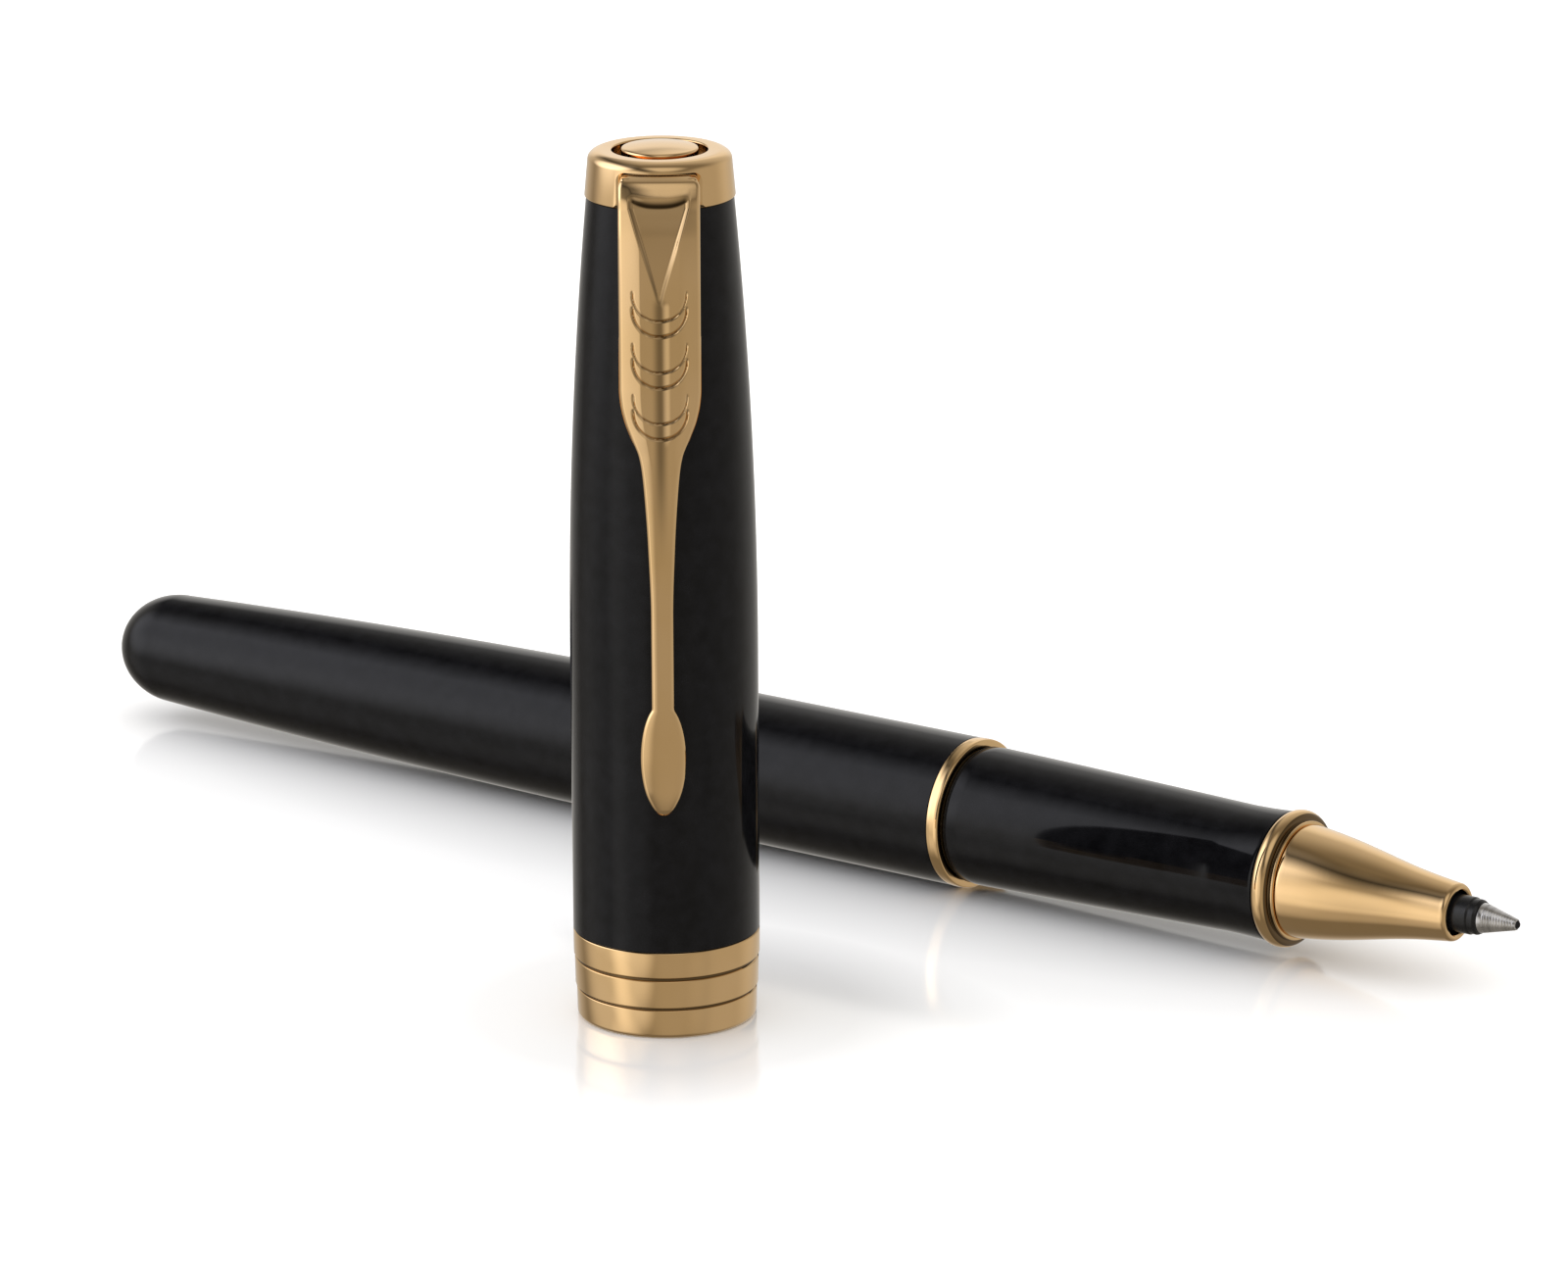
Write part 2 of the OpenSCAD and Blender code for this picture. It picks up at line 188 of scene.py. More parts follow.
def new_material(name, colour, metallic=0.0, roughness=0.5, ior=1.5):
    m = bpy.data.materials.new(name)
    m.use_nodes = True
    shader = m.node_tree.nodes["Principled BSDF"]
    shader.inputs["Base Color"].default_value = (*colour, 1.0)
    shader.inputs["Metallic"].default_value = metallic
    shader.inputs["Roughness"].default_value = roughness
    shader.inputs["IOR"].default_value = ior
    return m, shader


def add(m, kind, **values):
    """A new node in a material or world, with values for its sockets or its own settings."""
    node = m.node_tree.nodes.new(kind)
    for key, value in values.items():
        if key in node.inputs:
            node.inputs[key].default_value = value
        else:
            setattr(node, key, value)
    return node


def link(m, out, into):
    """Links two sockets of a material's or world's nodes."""
    m.node_tree.links.new(out, into)


def feed(m, value, socket):
    """Links an output to a socket, or sets a plain number or vector on it."""
    if isinstance(value, bpy.types.NodeSocket):
        link(m, value, socket)
    else:
        socket.default_value = value


def maths(m, operation, *values):
    """The output of a sum on outputs or plain numbers."""
    node = add(m, "ShaderNodeMath", operation=operation)
    for value, socket in zip(values, node.inputs):
        feed(m, value, socket)
    return node.outputs["Value"]


def vector_maths(m, operation, *values, scale=None):
    """The output of a vector sum: a number where the operation gives one, and a vector otherwise."""
    node = add(m, "ShaderNodeVectorMath", operation=operation)
    for value, socket in zip(values, node.inputs):
        feed(m, value, socket)
    if scale is not None:
        feed(m, scale, node.inputs["Scale"])
    return node.outputs["Value" if operation in ("LENGTH", "DOT_PRODUCT") else "Vector"]


def object_coordinates(m, stretch=(1.0, 1.0, 1.0)):
    """Metres in the shared frame; a stretch below 1 draws a pattern out along that axis."""
    place = add(m, "ShaderNodeTexCoord")
    mapping = add(m, "ShaderNodeMapping")
    mapping.inputs["Scale"].default_value = stretch
    link(m, place.outputs["Object"], mapping.inputs["Vector"])
    return mapping.outputs["Vector"]


def noise(m, vector, scale, detail=3.0, rough=0.5):
    node = add(m, "ShaderNodeTexNoise")
    node.inputs["Scale"].default_value = scale
    node.inputs["Detail"].default_value = detail
    node.inputs["Roughness"].default_value = rough
    link(m, vector, node.inputs["Vector"])
    return node.outputs["Fac"]


def spread(m, value, low, high, start=0.3, end=0.7):
    """Low to high in step with a value that runs from start to end."""
    node = add(m, "ShaderNodeMapRange")
    node.inputs["From Min"].default_value = start
    node.inputs["From Max"].default_value = end
    node.inputs["To Min"].default_value = low
    node.inputs["To Max"].default_value = high
    link(m, value, node.inputs["Value"])
    return node.outputs["Result"]


def fade(m, value, start, end, full=1.0):
    """A smooth step from 0, where the value is start, to full, where it is end."""
    node = add(m, "ShaderNodeMapRange", interpolation_type="SMOOTHSTEP")
    node.inputs["From Min"].default_value = start
    node.inputs["From Max"].default_value = end
    node.inputs["To Max"].default_value = full
    link(m, value, node.inputs["Value"])
    return node.outputs["Result"]


def two_colours(m, factor, first, second):
    """The first colour where the factor is low and the second where it is high."""
    node = add(m, "ShaderNodeValToRGB")
    node.color_ramp.elements[0].color = (*first, 1.0)
    node.color_ramp.elements[1].color = (*second, 1.0)
    node.color_ramp.elements[0].position = 0.3
    node.color_ramp.elements[1].position = 0.7
    link(m, factor, node.inputs["Fac"])
    return node.outputs["Color"]


def bump(m, shader, height, strength, distance):
    node = add(m, "ShaderNodeBump")
    node.inputs["Strength"].default_value = strength
    node.inputs["Distance"].default_value = distance
    link(m, height, node.inputs["Height"])
    link(m, node.outputs["Normal"], shader.inputs["Normal"])


def lacquer_material():
    """Black lacquer: a clear gloss with a faint haze and a very slight ripple."""
    m, shader = new_material("black_lacquer", (0.0035, 0.0035, 0.0042), roughness=0.05, ior=1.29)
    vector = object_coordinates(m)
    depth = two_colours(m, noise(m, vector, 900.0), (0.0025, 0.0025, 0.003), (0.0055, 0.0055, 0.0065))
    link(m, depth, shader.inputs["Base Color"])
    haze = spread(m, noise(m, object_coordinates(m, (0.35, 1.0, 1.0)), 260.0, 4.0), 0.045, 0.085)
    link(m, haze, shader.inputs["Roughness"])
    bump(m, shader, noise(m, vector, 420.0, 2.0), 0.02, 0.00005)
    return m


GOLD = (0.89, 0.62, 0.325)
# the dark brown of the painted shade in recesses and undercuts
PAINTED_SHADE_COLOUR = (0.035, 0.018, 0.006)


def gold_material(name, grain, roughness):
    """Pale gold plating over polished metal, with a trace of the polishing direction.

    Where a mesh has the "shade" attribute, the base colour there is mixed towards a dark brown: painted
    shade in its recesses and undercuts.
    """
    m, shader = new_material(name, GOLD, metallic=1.0)
    fine = noise(m, object_coordinates(m, grain), 1500.0, 4.0, 0.6)
    warm = tuple(c * k for c, k in zip(GOLD, (0.97, 0.95, 0.90)))
    light = tuple(c * k for c, k in zip(GOLD, (1.03, 1.03, 1.06)))
    plating = two_colours(m, noise(m, object_coordinates(m), 160.0, 3.0), warm, light)
    shade = add(m, "ShaderNodeAttribute", attribute_name="shade")
    # mixes in the painted shade wherever the "shade" attribute is above 0
    painted_shade_mix = add(m, "ShaderNodeMix", data_type="RGBA")
    painted_shade_mix.inputs["B"].default_value = (*PAINTED_SHADE_COLOUR, 1.0)
    link(m, shade.outputs["Fac"], painted_shade_mix.inputs["Factor"])
    link(m, plating, painted_shade_mix.inputs["A"])
    link(m, painted_shade_mix.outputs["Result"], shader.inputs["Base Color"])
    link(m, spread(m, fine, *roughness), shader.inputs["Roughness"])
    bump(m, shader, fine, 0.05, 0.00002)
    return m


def plastic_material():
    """Moulded black plastic, finely grained."""
    m, shader = new_material("black_plastic", (0.005, 0.005, 0.0055), roughness=0.24, ior=1.42)
    vector = object_coordinates(m)
    tone = two_colours(m, noise(m, vector, 1200.0), (0.003, 0.003, 0.0035), (0.008, 0.008, 0.0085))
    link(m, tone, shader.inputs["Base Color"])
    link(m, spread(m, noise(m, vector, 700.0, 4.0), 0.18, 0.3), shader.inputs["Roughness"])
    bump(m, shader, noise(m, vector, 3000.0, 2.0), 0.15, 0.00002)
    return m


def steel_material(name, rings, colour, roughness, lines):
    """Turned steel: fine rings along the axis of turning."""
    m, shader = new_material(name, colour, metallic=1.0)
    fine = noise(m, object_coordinates(m, rings), 4200.0, 3.0, 0.7)
    dark = tuple(c * 0.6 for c in colour)
    link(m, two_colours(m, fine, dark, colour), shader.inputs["Base Color"])
    link(m, spread(m, fine, *roughness), shader.inputs["Roughness"])
    bump(m, shader, fine, lines, 0.00003)
    return m


def rubber_material():
    """Matt dark rubber."""
    m, shader = new_material("gasket_rubber", (0.008, 0.008, 0.008), roughness=0.7)
    vector = object_coordinates(m)
    tone = two_colours(m, noise(m, vector, 2500.0), (0.006, 0.006, 0.006), (0.014, 0.014, 0.014))
    link(m, tone, shader.inputs["Base Color"])
    bump(m, shader, noise(m, vector, 4000.0), 0.3, 0.00003)
    return m


def brass_material():
    """Bare turned brass, with rings round the pen's axis."""
    m, shader = new_material("turned_brass", (0.66, 0.47, 0.20), metallic=1.0)
    fine = noise(m, object_coordinates(m, (1.0, 0.05, 0.05)), 2500.0, 3.0, 0.6)
    link(m, two_colours(m, fine, (0.50, 0.34, 0.13), (0.72, 0.53, 0.25)), shader.inputs["Base Color"])
    link(m, spread(m, fine, 0.22, 0.4), shader.inputs["Roughness"])
    bump(m, shader, fine, 0.2, 0.00003)
    return m


LACQUER = lacquer_material()
GOLD_PEN = gold_material("gold_plate_turned", (1.0, 0.12, 0.12), roughness=(0.04, 0.08))
GOLD_CAP = gold_material("gold_plate_cap", (0.12, 0.12, 1.0), roughness=(0.045, 0.085))
GOLD_CLIP = gold_material("gold_plate_clip", (1.0, 1.0, 0.15), roughness=(0.08, 0.13))
PLASTIC = plastic_material()
POINT_STEEL = steel_material("turned_point_steel", (1.0, 0.02, 0.02), (0.9, 0.9, 0.92), (0.12, 0.24), 0.6)
STEEL = steel_material("drawn_steel", (0.05, 0.05, 1.0), (0.55, 0.56, 0.58), (0.22, 0.38), 0.15)
BALL = steel_material("inked_ball", (1.0, 1.0, 1.0), (0.05, 0.05, 0.055), (0.08, 0.2), 0.05)
RUBBER = rubber_material()
BRASS = brass_material()

# ---------------------------------------------------------------- the pen

# Lengths here are in millimetres. On the pen, s is 0 at the barrel's mouth and grows towards the nib.
BARREL_RADIUS = 5.43
TAIL_RADIUS = 4.19
TAIL_DOME = 4.9
BARREL_TAPER_START = 22.0
BARREL_WALL = 0.62
TAIL_WALL = 0.9


def barrel_radius(d):
    """The barrel's radius at a distance behind its mouth."""
    run = BARREL_LENGTH - TAIL_DOME - BARREL_TAPER_START
    if d < BARREL_TAPER_START:
        return BARREL_RADIUS
    return BARREL_RADIUS - (BARREL_RADIUS - TAIL_RADIUS) * ((d - BARREL_TAPER_START) / run) ** 2


def make_barrel():
    """A tapering tube with a domed tail, open at its mouth."""
    start = BARREL_LENGTH - TAIL_DOME
    bore_end = start - TAIL_WALL
    outline = [(BARREL_RADIUS - BARREL_WALL, 0.0), (BARREL_RADIUS - 0.05, 0.0), (BARREL_RADIUS, -0.05)]
    outline += curve(lambda d: (barrel_radius(d), -d), 0.4, start, 110)
    outline += curve(lambda a: (TAIL_RADIUS * math.cos(a), -start - TAIL_DOME * math.sin(a)),
                     math.radians(3), math.radians(87), 28)
    outline += [(0.0, -BARREL_LENGTH), (0.0, -bore_end)]
    outline += curve(lambda d: (barrel_radius(d) - BARREL_WALL, -d), bore_end, 1.0, 30)
    lathe("barrel_body", outline, PEN, "barrel", "barrel_shell", LACQUER, around=192)


RING_BORE = 3.95
RING_FRONT = 0.95


def make_trim_ring():
    """The rounded gold ring at the barrel's mouth."""
    radius = BARREL_RADIUS + 0.03
    outline = filleted([
        (RING_BORE, 0.02), (radius - 0.02, 0.02, 0.06), (radius, 0.3, 0.2), (radius, 0.65, 0.2),
        (radius - 0.03, RING_FRONT, 0.13), (RING_BORE, RING_FRONT),
    ])
    lathe("barrel_ring", outline, PEN, "barrel", "trim_ring", GOLD_PEN, around=192)


GRIP_START = 1.25
GRIP_END = 27.0
NOSE_START = 28.60
NOSE_END = 41.20
GRIP_BACK = 5.03
GRIP_WAIST = 4.56
GRIP_FLARE = 4.70
FLARE_LENGTH = 3.6
GRIP_BORE = 4.22
GASKET_RADIUS = 4.73


def make_grip():
    """The lacquered grip, which tapers and then flares a little, and the dark gasket behind it."""
    waist = GRIP_END - FLARE_LENGTH
    start = GRIP_START + 0.14
    end = GRIP_END - 0.02

    def taper(t):
        return GRIP_BACK - (GRIP_BACK - GRIP_WAIST) * t ** 1.15, start + (waist - start) * t

    def flare(t):
        return GRIP_WAIST + (GRIP_FLARE - GRIP_WAIST) * t * t, waist + (end - waist) * t

    edge = [(GRIP_BORE, GRIP_START), (GRIP_BACK - 0.12, GRIP_START, 0.02), (GRIP_BACK, start, 0.12)]
    outline = filleted(edge) + curve(taper, 0.03, 1.0, 60) + curve(flare, 0.08, 0.98, 16)
    outline += [(GRIP_FLARE - 0.02, end), (GRIP_BORE, end)]
    lathe("grip_body", outline, PEN, "section", "grip_sleeve", LACQUER, around=192)
    back, front = RING_FRONT + 0.02, GRIP_START - 0.02
    gasket = filleted([
        (RING_BORE, back), (GASKET_RADIUS, back, 0.08), (GASKET_RADIUS, front, 0.08), (RING_BORE, front),
    ])
    lathe("grip_gasket", gasket, PEN, "section", "section_gasket", RUBBER)


CORE_BORE = 3.25
CORE_BACK = -12.0
CORE_RADIUS = 4.2
SPOUT_RADIUS = 3.6
THREAD_RADIUS = 3.87
THREAD_BACK = -10.8
THREAD_FRONT = -1.2
THREAD_PITCH = 1.0
THREAD_DEPTH = 0.32
THREAD_RUNOUT = 0.8


def make_spigot():
    """The section's brass core, with its outer thread cut into the part that enters the barrel."""

    def thread(r, s, angle):
        if r < THREAD_RADIUS - 0.07 or s < THREAD_BACK or s > THREAD_FRONT:
            return r, s
        phase = (s / THREAD_PITCH - angle / TURN) % 1.0
        cut = 0.5 - 0.5 * math.cos(TURN * phase)
        ends = min(1.0, (s - THREAD_BACK) / THREAD_RUNOUT, (THREAD_FRONT - s) / THREAD_RUNOUT)
        return r - THREAD_DEPTH * cut * ends, s

    front, end = GRIP_END - 0.02, NOSE_START - 0.05
    outline = [(CORE_BORE, CORE_BACK), (SPOUT_RADIUS, CORE_BACK), (THREAD_RADIUS, CORE_BACK + 0.3)]
    outline += curve(lambda s: (THREAD_RADIUS, s), THREAD_BACK, THREAD_FRONT, 96)
    outline += [(THREAD_RADIUS, GRIP_START), (CORE_RADIUS, GRIP_START), (CORE_RADIUS, front),
                (SPOUT_RADIUS, front), (SPOUT_RADIUS, end), (CORE_BORE, end)]
    lathe("section_spigot", outline, PEN, "section", "section_core", BRASS, around=72, shape=thread)


FLANGE_WIDTH = 1.22
FLANGE_RADIUS = 4.92
FLANGE_BORE = 3.62
# how dark the painted shade is in the flange's neck and in the cap band's grooves
RECESS_SHADE = 0.85


def make_flange():
    """The rounded ring in front of the grip, with a fine stepped neck towards the nose."""
    half = FLANGE_WIDTH / 2
    neck = GRIP_END + FLANGE_WIDTH

    def rounded(a):
        return FLANGE_RADIUS - 0.45 * (1 - math.cos(a)), GRIP_END + half + half * math.sin(a)

    # radius, distance past the ring, fillet
    steps = [(4.42, -0.02, 0.0), (4.3, -0.02, 0.05), (4.3, 0.09, 0.02), (4.22, 0.11, 0.02),
             (4.22, 0.16, 0.02), (4.28, 0.18, 0.03), (4.25, 0.33, 0.06), (FLANGE_BORE, 0.33, 0.0)]
    outline = [(FLANGE_BORE, GRIP_END)] + curve(rounded, math.radians(-88), math.radians(80), 30)
    outline += filleted([(r, neck + s, fillet) for r, s, fillet in steps], 3)[1:]
    # the neck's recess gets painted shade
    lathe("grip_flange", outline, PEN, "section", "front_flange", GOLD_PEN, around=192,
          painted_shade=[(neck - 0.1, neck + 0.19, RECESS_SHADE)])


NOSE_ROOT = 4.07
NOSE_LIP = 2.08
NOSE_BORE = 1.6
LIP_LENGTH = 0.4


def make_nose():
    """The gold cone, a little hollow towards its lip, which is rounded."""
    body_end = NOSE_END - LIP_LENGTH

    def side(t):
        radius = NOSE_ROOT + (NOSE_LIP - NOSE_ROOT) * t + 0.09 * math.sin(TURN * t)
        return radius, NOSE_START + (body_end - NOSE_START) * t

    def lip(a):
        return NOSE_LIP - 0.3 + 0.3 * math.cos(a), body_end + LIP_LENGTH * math.sin(a)

    outline = filleted([(CORE_BORE, NOSE_START), (NOSE_ROOT - 0.01, NOSE_START, 0.08), side(0.02)], 4)
    outline += curve(side, 0.04, 1.0, 60) + curve(lip, math.radians(8), math.radians(90), 12)
    outline += [(NOSE_BORE + 0.08, NOSE_END - 0.02), (NOSE_BORE + 0.01, NOSE_END - 0.1),
                (NOSE_BORE, NOSE_END - 0.2), (NOSE_BORE, NOSE_END - 1.8), (CORE_BORE, NOSE_START + 2.8)]
    lathe("nose_cone_gold", outline, PEN, "section", "nose_cone", GOLD_PEN, around=160)


COLLAR_END = NOSE_END + 1.9
BALL_RADIUS = 0.3
BALL_CENTRE = POINT_END - 0.1
SOCKET_RADIUS = 0.32
POINT_BACK, POINT_FRONT = 0.985, 0.43
POINT_RINGS = 11


def make_refill_collar():
    """The refill's black front end, stepped down to the point."""
    shoulder = filleted([
        (0.0, 22.9), (2.78, 22.9), (2.78, 25.22), (3.0, 25.22), (3.0, 29.8), (2.6, 30.2), (1.9, 30.6),
        (1.7, 35.4), (1.33, 37.4), (1.33, COLLAR_END - 0.75, 0.08), (1.25, COLLAR_END - 0.62, 0.05),
        (1.25, COLLAR_END - 0.22, 0.08), (1.13, COLLAR_END, 0.08), (0.62, COLLAR_END),
        (0.62, COLLAR_END - 4.0), (0.0, COLLAR_END - 4.0),
    ])
    lathe("refill_collar", shoulder, PEN, "refill", "refill_nose", PLASTIC, around=96)


def make_point():
    """The turned steel cone, with fine rings cut round it and a socket for the ball."""
    start = COLLAR_END + 0.43
    length = POINT_END - 0.14 - start
    # the stem in the collar, then a washer and a neck: radius and distance past the collar
    stem = [(0.0, -3.9), (0.6, -3.9), (0.6, 0.02), (1.04, 0.02), (1.06, 0.05), (1.01, 0.33), (0.99, 0.36),
            (0.965, 0.36), (0.965, 0.41)]
    outline = [(r, COLLAR_END + s) for r, s in stem] + [(POINT_BACK, start)]
    for i in range(POINT_RINGS):
        t = (i + 0.5) / POINT_RINGS
        r, s = POINT_BACK + (POINT_FRONT - POINT_BACK) * t, start + length * t
        outline += [(r + 0.006, s - 0.05), (r - 0.028, s), (r - 0.006, s + 0.045)]
    outline += [(0.42, POINT_END - 0.12), (0.39, POINT_END - 0.03), (0.34, POINT_END)]
    edge = math.asin((POINT_END - BALL_CENTRE) / SOCKET_RADIUS)
    outline += curve(lambda a: (SOCKET_RADIUS * math.cos(a), BALL_CENTRE + SOCKET_RADIUS * math.sin(a)),
                     edge, math.radians(-88), 12)
    outline += [(0.0, BALL_CENTRE - SOCKET_RADIUS)]
    lathe("refill_point_cone", outline, PEN, "refill", "refill_point", POINT_STEEL, around=96)


def make_ball():
    """The writing ball, loose in its socket."""
    outline = curve(lambda a: (max(0.0, BALL_RADIUS * math.cos(a)), BALL_CENTRE + BALL_RADIUS * math.sin(a)),
                    math.radians(-90), math.radians(90), 28)
    lathe("point_ball", outline, PEN, "ball", "tip_ball", BALL, around=48)


# ---------------------------------------------------------------- the cap

CAP_RADIUS = 6.41
CAP_TOP_RADIUS = 4.97
CAP_TAPER_START = 26.0
TUBE_WALL = 0.6
MOUTH_BORE = 5.3
CLUTCH_SEAT = 5.64
LINER_BORE = 5.25
BAND_TOP = (band_high.z - band_low.z) / MM


def cap_radius(z):
    """The cap tube's radius at a height above its mouth."""
    if z < CAP_TAPER_START:
        return CAP_RADIUS
    run = CROWN_BASE - CAP_TAPER_START
    return CAP_RADIUS - (CAP_RADIUS - CAP_TOP_RADIUS) * ((z - CAP_TAPER_START) / run) ** 2


def make_cap_tube():
    """The lacquered tube between the band and the crown."""
    low, high = BAND_TOP + 0.02, CROWN_BASE - 0.02
    outline = [(CAP_RADIUS - TUBE_WALL, low), (CAP_RADIUS - 0.04, low), (CAP_RADIUS, low + 0.04)]
    outline += curve(lambda z: (cap_radius(z), z), low + 0.3, high - 0.05, 110)
    outline += [(cap_radius(high) - 0.04, high)]
    outline += curve(lambda z: (cap_radius(z) - TUBE_WALL, z), high, low + 1.0, 30)
    lathe("cap_body", outline, CAP, "cap", "cap_tube", LACQUER, around=192)


def make_cap_band():
    """The gold band round the mouth, with two fine grooves and a step inwards at each."""
    r = CAP_RADIUS
    outline = filleted([
        (5.5, 0.0, 0.05), (r - 0.24, 0.0, 0.4), (r - 0.2, 1.98, 0.06),
        (r - 0.30, 2.04, 0.02), (r - 0.30, 2.14, 0.02), (r - 0.11, 2.24, 0.07), (r - 0.08, 4.12, 0.06),
        (r - 0.19, 4.19, 0.02), (r - 0.19, 4.31, 0.02), (r - 0.01, 4.42, 0.07), (r, BAND_TOP - 0.02, 0.08),
        (CLUTCH_SEAT, BAND_TOP), (CLUTCH_SEAT, 0.9), (MOUTH_BORE, 0.9), (MOUTH_BORE, 0.2, 0.05),
    ])
    # the two grooves get painted shade
    lathe("cap_band_gold", outline, CAP, "cap", "cap_band", GOLD_CAP, around=192,
          painted_shade=[(2.0, 2.17, RECESS_SHADE), (4.15, 4.34, RECESS_SHADE)])


def make_cap_liner():
    """The inner cap, a sleeve closed at its top."""
    foot = BAND_TOP + 0.02
    end = CROWN_BASE - 7.0
    hollow = end - 1.6

    def inner(z):
        return min(LINER_BORE, cap_radius(z) - 1.12), z

    outline = [(LINER_BORE, foot)] + curve(lambda z: (cap_radius(z) - 0.62, z), foot, end, 30)
    outline += [(0.0, end), (0.0, hollow)] + curve(inner, hollow, foot + 0.5, 30)
    lathe("cap_inner_liner", outline, CAP, "cap", "cap_liner", PLASTIC, around=96)


CROWN_TOP_RADIUS = CAP_TOP_RADIUS - 0.11
CROWN_FOOT_RADIUS = CAP_TOP_RADIUS + 0.11
CROWN_HOLE = 3.23
SCREW_BORE = 1.62
SEAT_Z = CAP_TOP - 1.3
POCKET_HALF = 2.87
POCKET_FRONT, POCKET_BACK = 7.0, 3.6
TOP_ROUND, TOP_DROP = 0.9, 0.65


def crown_cutter():
    """The pocket for the clip, a rounded arch with flared feet."""
    half, top = POCKET_HALF, CAP_TOP - 0.7
    corner, flare = 0.62, 0.4
    quarter = math.radians(90)
    wide, below = half + flare + 1.0, CROWN_BASE - 1.2
    side = [(wide, CROWN_BASE - 0.001)]
    side += curve(lambda a: (half + flare - flare * math.sin(a), CROWN_BASE + flare - flare * math.cos(a)),
                  0.0, quarter, 6)
    side += curve(lambda a: (half - corner + corner * math.cos(a), top - corner + corner * math.sin(a)),
                  0.0, quarter, 8)
    outline = [(-wide, below), (wide, below)] + side + [(-x, z) for x, z in reversed(side)]
    bm = bmesh.new()
    front = [bm.verts.new((x, -POCKET_FRONT, z)) for x, z in outline]
    back = [bm.verts.new((x, -POCKET_BACK, z)) for x, z in outline]
    bm.faces.new(front)
    bm.faces.new(list(reversed(back)))
    for i in range(len(outline)):
        j = (i + 1) % len(outline)
        bm.faces.new((front[j], front[i], back[i], back[j]))
    return placed_object("crown_cutter", bm, CAP)


def apply_modifiers(piece):
    """Bakes a piece's modifiers into its mesh."""
    bpy.context.view_layer.update()
    evaluated = piece.evaluated_get(bpy.context.evaluated_depsgraph_get())
    mesh = bpy.data.meshes.new_from_object(evaluated)
    piece.modifiers.clear()
    piece.data = mesh


def make_crown():
    """The gold ring on top, rounded over to the button's hole, with the clip's pocket cut out."""
    r, top, soft = CROWN_TOP_RADIUS, CAP_TOP, 0.08
    quarter = math.radians(90)

    def foot(a):
        return CROWN_FOOT_RADIUS - soft + soft * math.sin(a), CROWN_BASE + soft - soft * math.cos(a)

    def shoulder(a):
        return r - TOP_ROUND * (1 - math.cos(a)), top - TOP_DROP * (1 - math.sin(a))

    plug, plug_end = 4.3, CROWN_BASE - 2.6
    outline = [(SCREW_BORE, plug_end), (plug, plug_end), (plug, CROWN_BASE)]
    outline += curve(foot, 0.0, quarter, 5) + curve(shoulder, 0.0, quarter, 22)
    outline += filleted([(r - TOP_ROUND, top), (CROWN_HOLE, top, 0.11), (CROWN_HOLE, top - 0.5)], 6)[1:-1]
    outline += [(CROWN_HOLE, SEAT_Z), (SCREW_BORE, SEAT_Z)]
    piece = lathe("cap_crown_gold", outline, CAP, "cap", "cap_crown", GOLD_CAP, around=256)
    cutter = crown_cutter()
    cut = piece.modifiers.new("pocket", "BOOLEAN")
    cut.operation = "DIFFERENCE"
    cut.object = cutter
    cut.solver = "EXACT"
    apply_modifiers(piece)
    bpy.data.objects.remove(cutter)
    piece.data.set_sharp_from_angle(angle=math.radians(SHARP))


def make_button():
    """The domed gold disc in the crown's hole, on a black washer."""
    r, seat, rim = 2.6, SEAT_Z + 0.27, CAP_TOP + 0.12
    outline = [(0.0, seat), (r - 0.1, seat), (r, seat + 0.1)]
    outline += filleted([(r, seat + 0.1), (r, rim - 0.02, 0.17), (r - 0.35, rim + 0.06)], 7)[1:-1]
    outline += curve(lambda t: ((r - 0.2) * (1 - t), rim + 0.03 + 0.21 * (1 - (1 - t) ** 2)), 0.0, 0.97, 20)
    outline += [(0.0, rim + 0.24)]
    lathe("cap_button_gold", outline, CAP, "cap", "cap_button", GOLD_CAP, around=160)
    edge, low, high = CROWN_HOLE - 0.03, SEAT_Z + 0.02, SEAT_Z + 0.25
    washer = filleted([(SCREW_BORE, low), (edge, low), (edge, high, 0.06), (SCREW_BORE, high)])
    lathe("crown_black_washer", washer, CAP, "cap", "crown_washer", PLASTIC)


# ---------------------------------------------------------------- the clip

CLIP_TOP = CAP_TOP - 0.82
TOP_CORNER = 0.75
FOOT_Z = 20.2
FOOT_REACH = 4.0
FOOT_HALF = 1.55
EDGE_ROUND = 0.24
CLIP_COLUMNS = 92

# the panel on the clip's head: the height of its point and of its upper end
FACET_POINT = 51.7
FACET_TOP = 58.0
PANEL_HALF = 1.95
# how dark the painted shade over the whole panel is
PANEL_SHADE = 0.18
BAR_HALF = 2.15
BAR_ROLL = 0.9

# the channel down the middle, whose cut ends on the head and whose painted shade runs on down the shaft
CHANNEL_END = 40.6
CHANNEL_SHADE_END = 33.0
CHANNEL_DEPTH = 0.11

# three pairs of round scallops: in a pair, the distance up, half width and depth of each groove
SCALLOPS = 3
SCALLOP_TOP = 51.3
SCALLOP_STEP = 3.5
SCALLOP_RADIUS = 1.8
SCALLOP_FADE = 0.35
SCALLOP_PAIR = ((0.0, 0.15, 0.13), (1.05, 0.12, 0.10))


def smooth(t):
    """A smooth step from 0 to 1 as t goes from 0 to 1."""
    t = max(0.0, min(1.0, t))
    return t * t * (3 - 2 * t)


